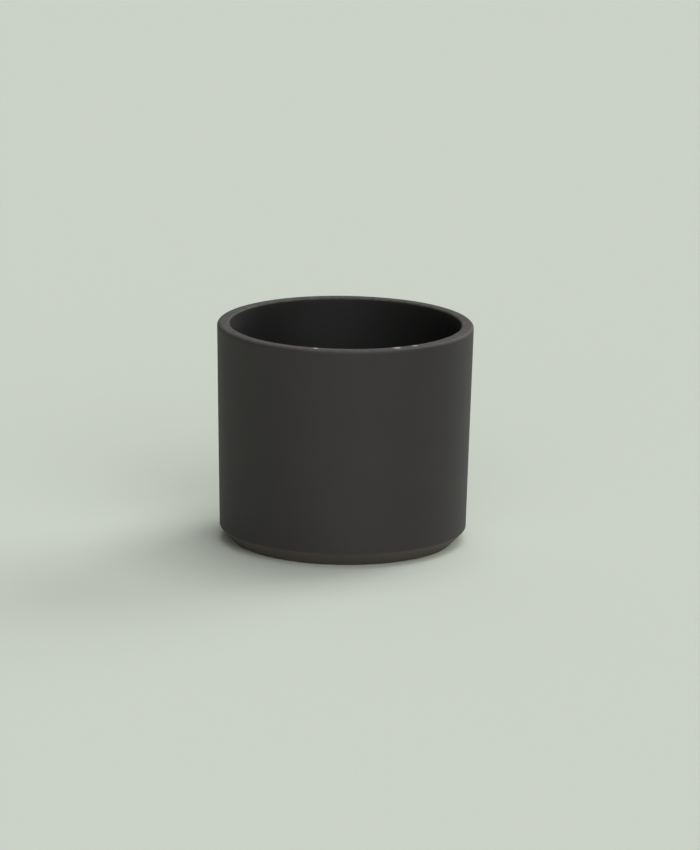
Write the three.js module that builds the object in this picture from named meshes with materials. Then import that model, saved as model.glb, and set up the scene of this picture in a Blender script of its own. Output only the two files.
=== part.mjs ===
// An empty candle jar: a plain round vessel, fired in one piece and glazed matte black.
// Millimetres, +Z up. The origin is the middle of the underside, on the plane the jar stands on.
import * as THREE from "three";

// The outside, as seen from the side
const rimDiameter = 80;
const jarHeight = 69;
const wallDraftDegrees = 1.3;
const heelBevel = 4.5;

// The thickness of the clay
const wallThickness = 4;
const floorThickness = 4.3;

// The underside: a shallow recess inside the ring that the jar stands on
const footRingWidth = 3.6;
const recessDepth = 1.2;
const recessFlank = 1.6;

// The radii that soften each edge of the section
const rimOuterRound = 1.2;
const rimInnerRound = 0.7;
const bevelTopRound = 0.8;
const footOuterRound = 0.5;
const footInnerRound = 0.6;
const recessRound = 1.4;
const innerCornerRound = 4;

// How finely the round forms are divided
const segmentsAround = 96;
const arcStepDegrees = 15;

// A rounded corner takes at most this share of the shorter edge beside it
const cornerReachShare = 0.48;

// One corner of the section: its distance from the axis, its height and its rounding
function corner(radius, z, rounding = 0) {
  return { at: new THREE.Vector2(radius, z), rounding };
}

// The points of an arc that is tangent to both edges of a corner, limited by the edges' length
function roundedCorner(before, here, after) {
  const back = before.at.clone().sub(here.at);
  const ahead = after.at.clone().sub(here.at);
  const halfAngle = back.angleTo(ahead) / 2;
  const reach = cornerReachShare * Math.min(back.length(), ahead.length());
  const rounding = Math.min(here.rounding, reach * Math.tan(halfAngle));
  back.normalize();
  ahead.normalize();
  const bisector = back.clone().add(ahead).normalize();
  const centre = here.at.clone().addScaledVector(bisector, rounding / Math.sin(halfAngle));
  const start = here.at.clone().addScaledVector(back, rounding / Math.tan(halfAngle));
  const end = here.at.clone().addScaledVector(ahead, rounding / Math.tan(halfAngle));
  const from = start.clone().sub(centre);
  const sweep = Math.PI - 2 * halfAngle;
  const turn = sweep * Math.sign(from.cross(end.clone().sub(centre)));
  const steps = Math.ceil(sweep / THREE.MathUtils.degToRad(arcStepDegrees));
  const points = [];
  for (let i = 0; i <= steps; i++) {
    points.push(start.clone().rotateAround(centre, (turn * i) / steps));
  }
  return points;
}

// The outline of a section: its sharp corners as they are, and the others as arcs
function sectionOutline(corners) {
  return corners.flatMap((here, i) =>
    here.rounding > 0 ? roundedCorner(corners[i - 1], here, corners[i + 1]) : [here.at],
  );
}

// Half of the jar's section, from the axis under the floor, round the rim, to the axis inside
function jarSection() {
  const draft = Math.tan(THREE.MathUtils.degToRad(wallDraftDegrees));
  const wallAcross = wallThickness * Math.hypot(1, draft);
  const rimRadius = rimDiameter / 2;
  const heelRadius = rimRadius - draft * (jarHeight - heelBevel);
  const footRadius = heelRadius - heelBevel;
  const ringInnerRadius = footRadius - footRingWidth;
  const floorTop = recessDepth + floorThickness;
  const mouthRadius = rimRadius - wallAcross;
  const innerFloorRadius = mouthRadius - draft * (jarHeight - floorTop);
  return [
    corner(0, recessDepth),
    corner(ringInnerRadius - recessFlank, recessDepth, recessRound),
    corner(ringInnerRadius, 0, footInnerRound),
    corner(footRadius, 0, footOuterRound),
    corner(heelRadius, heelBevel, bevelTopRound),
    corner(rimRadius, jarHeight, rimOuterRound),
    corner(mouthRadius, jarHeight, rimInnerRound),
    corner(innerFloorRadius, floorTop, innerCornerRound),
    corner(0, floorTop),
  ];
}

// Soft black glaze: dark warm grey with a dull sheen
function blackGlaze() {
  return new THREE.MeshStandardMaterial({ color: "#3a3937", roughness: 0.55, metalness: 0 });
}

// The jar: the section turned once round the upright axis
function makeJarBody() {
  const geometry = new THREE.LatheGeometry(sectionOutline(jarSection()), segmentsAround);
  geometry.rotateX(Math.PI / 2);
  const jar = new THREE.Mesh(geometry, blackGlaze());
  jar.name = "jar_body";
  return jar;
}

const candleJar = new THREE.Group();
candleJar.add(makeJarBody());

export default candleJar;
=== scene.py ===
import math

import bmesh
import bpy
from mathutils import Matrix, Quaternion, Vector, noise


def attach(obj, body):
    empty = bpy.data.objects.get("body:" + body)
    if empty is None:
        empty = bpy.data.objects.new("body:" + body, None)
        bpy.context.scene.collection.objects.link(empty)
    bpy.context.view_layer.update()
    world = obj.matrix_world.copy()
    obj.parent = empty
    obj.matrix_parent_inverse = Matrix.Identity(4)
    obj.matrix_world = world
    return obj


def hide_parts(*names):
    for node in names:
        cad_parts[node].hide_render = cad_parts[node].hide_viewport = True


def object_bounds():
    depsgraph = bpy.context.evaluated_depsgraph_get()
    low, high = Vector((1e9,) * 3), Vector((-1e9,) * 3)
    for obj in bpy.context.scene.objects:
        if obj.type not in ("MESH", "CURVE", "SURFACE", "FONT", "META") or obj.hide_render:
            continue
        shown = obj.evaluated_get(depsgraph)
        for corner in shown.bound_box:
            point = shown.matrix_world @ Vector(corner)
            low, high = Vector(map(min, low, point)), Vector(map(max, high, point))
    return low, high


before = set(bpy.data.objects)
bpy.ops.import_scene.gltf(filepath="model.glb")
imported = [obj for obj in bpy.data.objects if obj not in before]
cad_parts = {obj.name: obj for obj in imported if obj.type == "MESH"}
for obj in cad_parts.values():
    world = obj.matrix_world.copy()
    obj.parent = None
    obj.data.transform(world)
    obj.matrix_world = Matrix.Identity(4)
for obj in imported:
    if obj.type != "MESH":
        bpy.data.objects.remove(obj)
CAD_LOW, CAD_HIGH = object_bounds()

# Everything is in metres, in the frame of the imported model: +Z up, the jar standing on z = 0.
# Azimuth 0 is the camera's side, which is -Y, and azimuth 90 is on the camera's right, +X.
NODE = "jar_body"
PIECE = "jar_glazed"
MM = 0.001

# The jar's section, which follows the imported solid's
RIM_RADIUS = 40.0 * MM
HEIGHT = CAD_HIGH.z
WALL_DRAFT = math.radians(1.3)
HEEL_BEVEL = 4.5 * MM
WALL = 4.0 * MM
FLOOR_THICKNESS = 4.3 * MM
FOOT_RING_WIDTH = 3.6 * MM
RECESS_DEPTH = 1.2 * MM
RECESS_FLANK = 1.6 * MM
RIM_OUTER_ROUND = 1.2 * MM
RIM_INNER_ROUND = 0.7 * MM
BEVEL_TOP_ROUND = 0.8 * MM
FOOT_OUTER_ROUND = 0.5 * MM
FOOT_INNER_ROUND = 0.6 * MM
RECESS_ROUND = 1.4 * MM
INNER_CORNER_ROUND = 4.0 * MM

# How finely the section is drawn and turned
SEGMENTS_AROUND = 288
ARC_STEP = math.radians(7.5)
LONGEST_STEP = 1.5 * MM

# The hand of the maker: shallow waves in the glaze, always inwards, so the jar stays within its size
SWELL_DEPTH = 0.10 * MM
SWELL_SIZE = 26.0 * MM
RIPPLE_DEPTH = 0.02 * MM
RIPPLE_SIZE = 6.0 * MM

# The glaze: linear colours and a dull sheen
GLAZE_DARK = (0.0230, 0.0203, 0.0203, 1.0)
GLAZE_LIGHT = (0.0290, 0.0256, 0.0256, 1.0)
# Painted shade: the inside is painted darker, as shade in the cup's hollow
GLAZE_INSIDE_PAINTED_SHADE = (0.0080, 0.0074, 0.0071, 1.0)
# Partly thinner glaze, partly a painted highlight: the rim's top is painted lighter
GLAZE_THIN_AND_HIGHLIGHT = (0.0700, 0.0630, 0.0575, 1.0)
# Painted light: the heel's bevel is painted lighter and warmer, as a painted reflection of the floor
GLAZE_HEEL_PAINTED_LIGHT = (0.0760, 0.0610, 0.0545, 1.0)
GLAZE_SPOT = (0.3000, 0.2800, 0.2600, 1.0)
GLAZE_IOR = 1.45
GLAZE_ROUGHNESS = (0.62, 0.72)

# The noises of the glaze: how fine each one is and in how many octaves, and how rough the grain feels
MOTTLE_PER_METRE = 90.0
MOTTLE_DETAIL = 5.0
UNEVEN_PER_METRE = 420.0
UNEVEN_DETAIL = 3.0
GRAIN_PER_METRE = 1800.0
GRAIN_DETAIL = 3.0
GRAIN_STRENGTH = 0.15
GRAIN_DEPTH = 0.02 * MM

# The stretch of the uneven noise over which each patchy mark goes from its least to its most: the
# rim's lighter paint, the spots' ragged edges and the bare clay's line
PATCHY_SPAN = (0.40, 0.62)

# Where the inside's painted shade begins, measured inwards from the rim's outer edge: the inside is
# painted darker than the outer glaze
INSIDE_FROM = 2.8 * MM
INSIDE_FADE = 1.4 * MM

# How gradually the heel's painted light fades out at the top of its bevel, which is also where the
# inside's painted shade begins to rise
HEEL_FADE = 0.5 * MM

# The rim: how far down it is painted lighter, partly for thinner glaze and partly as a painted
# highlight, and the least share of that lighter colour there
RIM_THIN_AND_HIGHLIGHT_REACH = 0.9 * MM
THIN_AND_HIGHLIGHT_LEAST_SHARE = 0.55

# The spots of the rim: degrees from the front and width of each, and how far outside the rim's
# inner edge their middles lie. Their own edges are ragged, round a solid core.
RIM_SPOTS = ((25.0, 3.6 * MM), (34.5, 2.2 * MM), (-14.0, 2.0 * MM))
SPOT_INSET = 1.4 * MM
SPOT_RAGGED = 0.3 * MM
SPOT_CORE_SHARE = 0.5

# The bare clay of the ring under the jar: how far up it reaches, and how far its edge wavers
CLAY = (0.300, 0.240, 0.190, 1.0)
CLAY_ROUGHNESS = 0.85
CLAY_TOP = 0.08 * MM
CLAY_WAVER = 0.04 * MM

# The floor of the studio, a wide disc
STUDIO_FLOOR_COLOUR = (0.614, 0.656, 0.580, 1.0)
STUDIO_FLOOR_RADIUS = 6.0
STUDIO_FLOOR_SIDES = 128

# The room: a pale band at the horizon, and above it patches of soft light.
# Each patch is azimuth and elevation in degrees, how narrow it is and how bright.
BACKDROP_COLOUR = (0.60, 0.64, 0.57, 1.0)
BAND_FULL_BELOW = math.radians(4.0)
BAND_GONE_ABOVE = math.radians(9.0)
ROOM_LIGHTS = (
    (15.0, 28.0, 8.0, 4.2),
    (180.0, 40.0, 6.0, 0.55),
    (0.0, 90.0, 2.0, 0.10),
)

# Each broad sun: its name, its azimuth, elevation and width in degrees, and its strength
SUNS = (
    ("key", 135.0, 74.0, 44.0, 1.22),
    ("back", 132.0, 24.0, 37.0, 1.27),
)

# The camera, as fitted to the outline in the 700 by 850 photograph, with its elevation in degrees
PHOTO_HEIGHT_PX = 850
PHOTO_CENTRE_PX = (350, 425)
SENSOR_WIDTH_MM = 36.0
CAMERA_DISTANCE = 2.2
CAMERA_ELEVATION = 13.46
CAMERA_ROLL = math.radians(0.84)
PX_PER_METRE = 3207.5
AIM_HEIGHT = 34.0 * MM
AIM_PX = (344.0, 432.1)
CLIP_START = 0.05
CLIP_END = 50.0

# The places of the sockets that a mix of two colours uses, among others for numbers and vectors
MIX_SHARE = 0
MIX_UNDER = 6
MIX_OVER = 7
MIX_RESULT = 2


def direction_to(azimuth, elevation):
    """The unit vector from the jar towards an azimuth and elevation in degrees."""
    around = math.radians(azimuth)
    up = math.radians(elevation)
    return Vector((math.cos(up) * math.sin(around), -math.cos(up) * math.cos(around), math.sin(up)))


# Shape

def corner(radius, z, rounding=0.0):
    """One corner of the section: its place as (distance from the axis, height) and its rounding."""
    return Vector((radius, z)), rounding


def rounded_corner(before, here, after, rounding):
    """The points of an arc that is tangent to both edges of a corner."""
    back = (before - here).normalized()
    ahead = (after - here).normalized()
    half_angle = back.angle(ahead) / 2
    centre = here + (back + ahead).normalized() * rounding / math.sin(half_angle)
    start = here + back * rounding / math.tan(half_angle) - centre
    end = here + ahead * rounding / math.tan(half_angle) - centre
    sweep = math.pi - 2 * half_angle
    turn = math.copysign(sweep, start.x * end.y - start.y * end.x)
    steps = math.ceil(sweep / ARC_STEP)
    points = []
    for i in range(steps + 1):
        angle = turn * i / steps
        turned = Vector((start.x * math.cos(angle) - start.y * math.sin(angle),
                         start.x * math.sin(angle) + start.y * math.cos(angle)))
        points.append(centre + turned)
    return points


def divided(points):
    """The same outline with every long straight stretch cut into short steps."""
    fine = [points[0]]
    for a, b in zip(points, points[1:]):
        steps = max(1, math.ceil((b - a).length / LONGEST_STEP))
        fine += [a.lerp(b, (i + 1) / steps) for i in range(steps)]
    return fine


def jar_section():
    """Half of the jar's section, from the axis under the floor, round the rim, to the axis inside."""
    draft = math.tan(WALL_DRAFT)
    heel_radius = RIM_RADIUS - draft * (HEIGHT - HEEL_BEVEL)
    foot_radius = heel_radius - HEEL_BEVEL
    ring_inner = foot_radius - FOOT_RING_WIDTH
    floor_top = RECESS_DEPTH + FLOOR_THICKNESS
    mouth_radius = RIM_RADIUS - WALL / math.cos(WALL_DRAFT)
    inner_floor = mouth_radius - draft * (HEIGHT - floor_top)
    corners = [
        corner(0.0, RECESS_DEPTH),
        corner(ring_inner - RECESS_FLANK, RECESS_DEPTH, RECESS_ROUND),
        corner(ring_inner, 0.0, FOOT_INNER_ROUND),
        corner(foot_radius, 0.0, FOOT_OUTER_ROUND),
        corner(heel_radius, HEEL_BEVEL, BEVEL_TOP_ROUND),
        corner(RIM_RADIUS, HEIGHT, RIM_OUTER_ROUND),
        corner(mouth_radius, HEIGHT, RIM_INNER_ROUND),
        corner(inner_floor, floor_top, INNER_CORNER_ROUND),
        corner(0.0, floor_top),
    ]
    outline = []
    for i, (place, rounding) in enumerate(corners):
        if rounding:
            outline += rounded_corner(corners[i - 1][0], place, corners[i + 1][0], rounding)
        else:
            outline.append(place)
    return divided(outline)


def turned_ring(made, point, segments):
    """The vertices that one point of the outline makes: a ring, or a single one on the axis."""
    if point.x == 0.0:
        return [made.verts.new((0.0, 0.0, point.y))]
    ring = []
    for i in range(segments):
        angle = 2 * math.pi * i / segments
        ring.append(made.verts.new((point.x * math.cos(angle), point.x * math.sin(angle), point.y)))
    return ring


def join_rings(made, low, high, segments):
    """The faces between two rings, either of which may be a single vertex."""
    for i in range(segments):
        j = (i + 1) % segments
        if len(low) == 1:
            made.faces.new((low[0], high[j], high[i]))
        elif len(high) == 1:
            made.faces.new((low[i], low[j], high[0]))
        else:
            made.faces.new((low[i], low[j], high[j], high[i]))


def turned_mesh(name, outline, segments):
    """A closed mesh of the outline turned once round the upright axis."""
    made = bmesh.new()
    rings = [turned_ring(made, point, segments) for point in outline]
    for low, high in zip(rings, rings[1:]):
        join_rings(made, low, high, segments)
    bmesh.ops.recalc_face_normals(made, faces=made.faces)
    for face in made.faces:
        face.smooth = True
    mesh = bpy.data.meshes.new(name)
    made.to_mesh(mesh)
    made.free()
    return mesh


def wave(place, size):
    """Smooth noise between zero and one, whose waves are about as long as the size."""
    return (1 + noise.noise(place / size)) / 2


def soften(mesh):
    """Shallow waves of the fired glaze. The foot stays flat, and no point moves away from the clay."""
    normals = [item.vector.copy() for item in mesh.vertex_normals]
    for vertex, normal in zip(mesh.vertices, normals):
        place = vertex.co.copy()
        depth = SWELL_DEPTH * wave(place, SWELL_SIZE) + RIPPLE_DEPTH * wave(place, RIPPLE_SIZE)
        hold = min(1.0, max(0.0, (place.z - RECESS_DEPTH) / HEEL_BEVEL))
        vertex.co = place - normal * depth * hold


def make_jar():
    """The whole jar as one piece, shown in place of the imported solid."""
    mesh = turned_mesh(PIECE, jar_section(), SEGMENTS_AROUND)
    soften(mesh)
    mesh.materials.append(black_glaze())
    jar = bpy.data.objects.new(PIECE, mesh)
    bpy.context.scene.collection.objects.link(jar)
    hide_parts(NODE)
    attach(jar, "root")


# Nodes of the materials and of the room

class Nodes:
    """A short way to add and link the nodes of one material or world."""

    def __init__(self, tree):
        self.tree = tree

    def add(self, kind, **settings):
        node = self.tree.nodes.new(kind)
        for name, value in settings.items():
            setattr(node, name, value)
        return node

    def link(self, source, target):
        self.tree.links.new(source, target)

    def show(self, surface, kind):
        """Makes the surface what the material or world looks like."""
        self.link(surface, self.add(kind).inputs["Surface"])


def empty_material(name):
    material = bpy.data.materials.new(name)
    material.use_nodes = True
    material.node_tree.nodes.clear()
    return material, Nodes(material.node_tree)


def noise_field(nodes, place, per_metre, detail):
    field = nodes.add("ShaderNodeTexNoise")
    field.inputs["Scale"].default_value = per_metre
    field.inputs["Detail"].default_value = detail
    nodes.link(place, field.inputs["Vector"])
    return field.outputs["Fac"]


def ramp(nodes, value, start, end, low=0.0, high=1.0):
    """The low number where the value is at the start, and the high one where it is at the end."""
    spread = nodes.add("ShaderNodeMapRange", interpolation_type="SMOOTHSTEP")
    nodes.link(value, spread.inputs["Value"])
    for name, number in (("From Min", start), ("From Max", end), ("To Min", low), ("To Max", high)):
        spread.inputs[name].default_value = number
    return spread.outputs["Result"]


def combined(nodes, operation, first, second):
    """Two values in one sum, product or other operation. Each is a socket or a number."""
    both = nodes.add("ShaderNodeMath", operation=operation)
    for socket, source in zip(both.inputs, (first, second)):
        if isinstance(source, float):
            socket.default_value = source
        else:
            nodes.link(source, socket)
    return both.outputs[0]


def blended(nodes, share, under, over):
    """The colour under, covered by the colour over where the share is one."""
    mix = nodes.add("ShaderNodeMix", data_type="RGBA")
    nodes.link(share, mix.inputs[MIX_SHARE])
    for socket, colour in ((mix.inputs[MIX_UNDER], under), (mix.inputs[MIX_OVER], over)):
        if isinstance(colour, tuple):
            socket.default_value = colour
        else:
            nodes.link(colour, socket)
    return mix.outputs[MIX_RESULT]


def axis_distance(nodes, place):
    across = nodes.add("ShaderNodeVectorMath", operation="MULTIPLY")
    across.inputs[1].default_value = (1.0, 1.0, 0.0)
    nodes.link(place, across.inputs[0])
    radius = nodes.add("ShaderNodeVectorMath", operation="LENGTH")
    nodes.link(across.outputs["Vector"], radius.inputs[0])
    return radius.outputs["Value"]


def height_of(nodes, place):
    split = nodes.add("ShaderNodeSeparateXYZ")
    nodes.link(place, split.inputs[0])
    return split.outputs["Z"]


# The glaze of the jar and the colour of the floor

def mottled_black(nodes, place):
    mottle = noise_field(nodes, place, MOTTLE_PER_METRE, MOTTLE_DETAIL)
    return blended(nodes, mottle, GLAZE_DARK, GLAZE_LIGHT)


def inside_painted_shade_share(nodes, radius, height):
    """One on the inner wall and the inner floor, which are painted darker as painted shade, and zero
    on the outside and under the jar.
    """
    within = ramp(nodes, radius, RIM_RADIUS - INSIDE_FROM, RIM_RADIUS - INSIDE_FROM - INSIDE_FADE)
    above = ramp(nodes, height, HEEL_BEVEL + HEEL_FADE, RECESS_DEPTH + FLOOR_THICKNESS)
    return combined(nodes, "MULTIPLY", within, above)


def heel_painted_light_share(nodes, height):
    """One on the heel's bevel and below it, which is painted lighter and warmer as a painted
    reflection of the floor's light on its shade.
    """
    return ramp(nodes, height, HEEL_BEVEL + HEEL_FADE, HEEL_BEVEL - HEEL_FADE)


def thin_and_highlight_share(nodes, height, uneven):
    """How much lighter the rim is painted, partly for thinner glaze and partly as a painted highlight
    on its top, more in some places than in others.
    """
    top = ramp(nodes, height, HEIGHT - RIM_THIN_AND_HIGHLIGHT_REACH, HEIGHT)
    patchy = ramp(nodes, uneven, *PATCHY_SPAN, THIN_AND_HIGHLIGHT_LEAST_SHARE, 1.0)
    return combined(nodes, "MULTIPLY", top, patchy)


def spot_share(nodes, place, uneven):
    """One on the small lighter spots near the rim's inner edge."""
    ragged = ramp(nodes, uneven, *PATCHY_SPAN, -SPOT_RAGGED, SPOT_RAGGED)
    share = None
    for angle, width in RIM_SPOTS:
        middle = direction_to(angle, 0.0) * (RIM_RADIUS - WALL + SPOT_INSET)
        middle.z = HEIGHT
        away = nodes.add("ShaderNodeVectorMath", operation="DISTANCE")
        nodes.link(place, away.inputs[0])
        away.inputs[1].default_value = middle
        torn = combined(nodes, "ADD", away.outputs["Value"], ragged)
        spot = ramp(nodes, torn, width / 2, width / 2 * SPOT_CORE_SHARE)
        share = spot if share is None else combined(nodes, "MAXIMUM", share, spot)
    return share


def bare_share(nodes, height, uneven):
    """One on the ring under the jar, which is wiped bare up to an uneven line."""
    waver = ramp(nodes, uneven, *PATCHY_SPAN, -CLAY_WAVER, CLAY_WAVER)
    line = combined(nodes, "ADD", height, waver)
    return ramp(nodes, line, CLAY_TOP, CLAY_TOP - CLAY_WAVER)


def grainy_normal(nodes, grain):
    bump = nodes.add("ShaderNodeBump")
    bump.inputs["Strength"].default_value = GRAIN_STRENGTH
    bump.inputs["Distance"].default_value = GRAIN_DEPTH
    nodes.link(grain, bump.inputs["Height"])
    return bump.outputs["Normal"]


def black_glaze():
    """Matte black glaze, with painted shade inside, thinner glaze and a painted highlight on the rim,
    a painted reflection of the floor on the heel, lighter spots on the rim, and wiped off the foot.
    """
    material, nodes = empty_material("matte_black_glaze")
    place = nodes.add("ShaderNodeTexCoord").outputs["Object"]
    radius = axis_distance(nodes, place)
    height = height_of(nodes, place)
    uneven = noise_field(nodes, place, UNEVEN_PER_METRE, UNEVEN_DETAIL)
    grain = noise_field(nodes, place, GRAIN_PER_METRE, GRAIN_DETAIL)
    bare = bare_share(nodes, height, uneven)

    colour = mottled_black(nodes, place)
    # Painted shade: the inside painted darker
    colour = blended(nodes, inside_painted_shade_share(nodes, radius, height), colour, GLAZE_INSIDE_PAINTED_SHADE)
    # Painted reflection of the floor: the heel's bevel painted lighter and warmer
    colour = blended(nodes, heel_painted_light_share(nodes, height), colour, GLAZE_HEEL_PAINTED_LIGHT)
    # Partly thinner glaze, partly a painted highlight: the rim painted lighter
    colour = blended(nodes, thin_and_highlight_share(nodes, height, uneven), colour, GLAZE_THIN_AND_HIGHLIGHT)
    colour = blended(nodes, spot_share(nodes, place, uneven), colour, GLAZE_SPOT)
    colour = blended(nodes, bare, colour, CLAY)
    sheen = ramp(nodes, grain, 0.0, 1.0, *GLAZE_ROUGHNESS)
    dull = combined(nodes, "MULTIPLY", bare, CLAY_ROUGHNESS)

    shader = nodes.add("ShaderNodeBsdfPrincipled")
    shader.inputs["IOR"].default_value = GLAZE_IOR
    nodes.link(colour, shader.inputs["Base Color"])
    nodes.link(combined(nodes, "MAXIMUM", sheen, dull), shader.inputs["Roughness"])
    nodes.link(grainy_normal(nodes, grain), shader.inputs["Normal"])
    nodes.show(shader.outputs["BSDF"], "ShaderNodeOutputMaterial")
    return material


def pale_floor():
    material, nodes = empty_material("pale_floor")
    shader = nodes.add("ShaderNodeBsdfDiffuse")
    shader.inputs["Color"].default_value = STUDIO_FLOOR_COLOUR
    nodes.show(shader.outputs["BSDF"], "ShaderNodeOutputMaterial")
    return material


# Stage, light and camera

def make_floor():
    bpy.ops.mesh.primitive_circle_add(
        vertices=STUDIO_FLOOR_SIDES, radius=STUDIO_FLOOR_RADIUS, fill_type="NGON")
    floor = bpy.context.object
    floor.name = "floor"
    floor.data.materials.append(pale_floor())


def room_patch(nodes, direction, azimuth, elevation, narrowness, brightness):
    """Light that is brightest in one direction and fades away from it."""
    towards = nodes.add("ShaderNodeVectorMath", operation="DOT_PRODUCT")
    nodes.link(direction, towards.inputs[0])
    towards.inputs[1].default_value = direction_to(azimuth, elevation)
    facing = combined(nodes, "MAXIMUM", towards.outputs["Value"], 0.0)
    return combined(nodes, "MULTIPLY", combined(nodes, "POWER", facing, narrowness), brightness)


def make_world():
    """The patches of soft light, and the pale band that takes their place at the horizon."""
    world = bpy.data.worlds.new("studio")
    bpy.context.scene.world = world
    world.use_nodes = True
    world.node_tree.nodes.clear()
    nodes = Nodes(world.node_tree)
    direction = nodes.add("ShaderNodeTexCoord").outputs["Generated"]
    total = None
    for patch in ROOM_LIGHTS:
        light = room_patch(nodes, direction, *patch)
        total = light if total is None else combined(nodes, "ADD", total, light)
    upper = nodes.add("ShaderNodeBackground")
    nodes.link(total, upper.inputs["Strength"])
    horizon = nodes.add("ShaderNodeBackground")
    horizon.inputs["Color"].default_value = BACKDROP_COLOUR
    rise = height_of(nodes, direction)
    share = ramp(nodes, rise, math.sin(BAND_GONE_ABOVE), math.sin(BAND_FULL_BELOW))
    room = nodes.add("ShaderNodeMixShader")
    sources = (share, upper.outputs["Background"], horizon.outputs["Background"])
    for source, socket in zip(sources, room.inputs):
        nodes.link(source, socket)
    nodes.show(room.outputs["Shader"], "ShaderNodeOutputWorld")


def make_sun(name, azimuth, elevation, width, strength):
    """Soft light from a broad disc in the sky, which is as strong on the far floor as at the jar."""
    sun = bpy.data.lights.new(name, "SUN")
    sun.angle = math.radians(width)
    sun.energy = strength
    holder = bpy.data.objects.new(name, sun)
    holder.rotation_euler = direction_to(azimuth, elevation).to_track_quat("Z", "Y").to_euler()
    bpy.context.scene.collection.objects.link(holder)


def make_camera():
    """The photograph's camera, placed so that the aim point falls on its own pixel."""
    camera = bpy.data.cameras.new("camera")
    camera.sensor_width = SENSOR_WIDTH_MM
    camera.lens = PX_PER_METRE * CAMERA_DISTANCE * SENSOR_WIDTH_MM / PHOTO_HEIGHT_PX
    camera.clip_start = CLIP_START
    camera.clip_end = CLIP_END
    across = (PHOTO_CENTRE_PX[0] - AIM_PX[0]) / PX_PER_METRE
    above = (AIM_PX[1] - PHOTO_CENTRE_PX[1]) / PX_PER_METRE / math.cos(math.radians(CAMERA_ELEVATION))
    aim = Vector((across, 0.0, AIM_HEIGHT + above))
    back = direction_to(0.0, CAMERA_ELEVATION)
    turn = (-back).to_track_quat("-Z", "Y")
    view_axis = Vector((0.0, 0.0, 1.0))
    holder = bpy.data.objects.new("camera", camera)
    bpy.context.scene.collection.objects.link(holder)
    holder.rotation_mode = "QUATERNION"
    holder.rotation_quaternion = turn @ Quaternion(view_axis, CAMERA_ROLL)
    holder.location = aim + back * CAMERA_DISTANCE
    bpy.context.scene.camera = holder


make_camera()
make_jar()
make_floor()
make_world()
for sun in SUNS:
    make_sun(*sun)
bpy.context.scene.view_settings.view_transform = "Standard"
